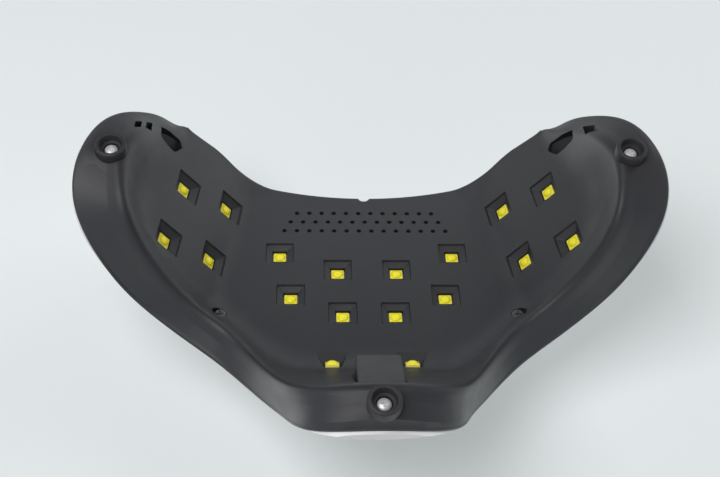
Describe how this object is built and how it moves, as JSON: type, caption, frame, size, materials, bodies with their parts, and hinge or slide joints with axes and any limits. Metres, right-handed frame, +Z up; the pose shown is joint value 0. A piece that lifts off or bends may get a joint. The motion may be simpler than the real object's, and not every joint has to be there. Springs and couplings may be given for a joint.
{
  "type": "led nail lamp",
  "caption": "Domed nail-curing lamp on rubber feet, with a hand opening under LED pockets, a display, push buttons and a DC inlet.",
  "frame": {"origin": "on the table under the middle of the lamp's box, with the lamp standing on its feet", "axes": "+Z up, -Y to the front, where the hand goes in, +Y to the back with the DC inlet, X to the sides"},
  "size_m": [0.2134, 0.1502, 0.091],
  "materials": {
    "shell_black": "fine moulded texture, soft sheen",
    "cover_white": "glossy white",
    "panel_dark": "glossy dark",
    "window_smoke": "smoked, polished",
    "component_black": "moulded",
    "board_green": "solder mask",
    "board_aluminium": "white solder mask over metal core",
    "led_yellow": "phosphor under clear resin",
    "foot_rubber": "matt",
    "screw_steel": "plated, satin",
    "button_grey": "satin",
    "lead_red": "insulation"
  },
  "bodies": {
    "root": {"base_shell": "shell_black", "centre_led_board": "board_aluminium", "centre_leds": "led_yellow", "control_board": "board_green", "control_board_screws": "screw_steel", "control_panel": "panel_dark", "dc_jack": "component_black", "display_module": "component_black", "display_window": "window_smoke", "driver_board": "board_green", "driver_board_screws": "screw_steel", "driver_components": "component_black", "foot_screws": "screw_steel", "hand_sensor": "component_black", "jack_pin": "screw_steel", "leads": "lead_red", "led_board_screws": "screw_steel", "left_led_board": "board_aluminium", "left_leds": "led_yellow", "rear_led_boards": "board_aluminium", "rear_leds": "led_yellow", "right_led_board": "board_aluminium", "right_leds": "led_yellow", "rubber_feet": "foot_rubber", "sensor_board": "board_green", "side_screws": "screw_steel", "switch_housings": "component_black", "top_cover": "cover_white"},
    "button_1": {"button_cap_1": "button_grey", "switch_plunger_1": "component_black"},
    "button_2": {"button_cap_2": "button_grey", "switch_plunger_2": "component_black"},
    "button_3": {"button_cap_3": "button_grey", "switch_plunger_3": "component_black"},
    "button_4": {"button_cap_4": "button_grey", "switch_plunger_4": "component_black"}
  },
  "joints": [
    {"name": "button_1_press", "type": "slide", "parent": "root", "child": "button_1", "axis": [0, 0, -1], "range_m": [0, 0.0005], "stiffness_N_per_m": 1500},
    {"name": "button_2_press", "type": "slide", "parent": "root", "child": "button_2", "axis": [0, 0, -1], "range_m": [0, 0.0005], "stiffness_N_per_m": 1500},
    {"name": "button_3_press", "type": "slide", "parent": "root", "child": "button_3", "axis": [0, 0, -1], "range_m": [0, 0.0005], "stiffness_N_per_m": 1500},
    {"name": "button_4_press", "type": "slide", "parent": "root", "child": "button_4", "axis": [0, 0, -1], "range_m": [0, 0.0005], "stiffness_N_per_m": 1500}
  ]
}
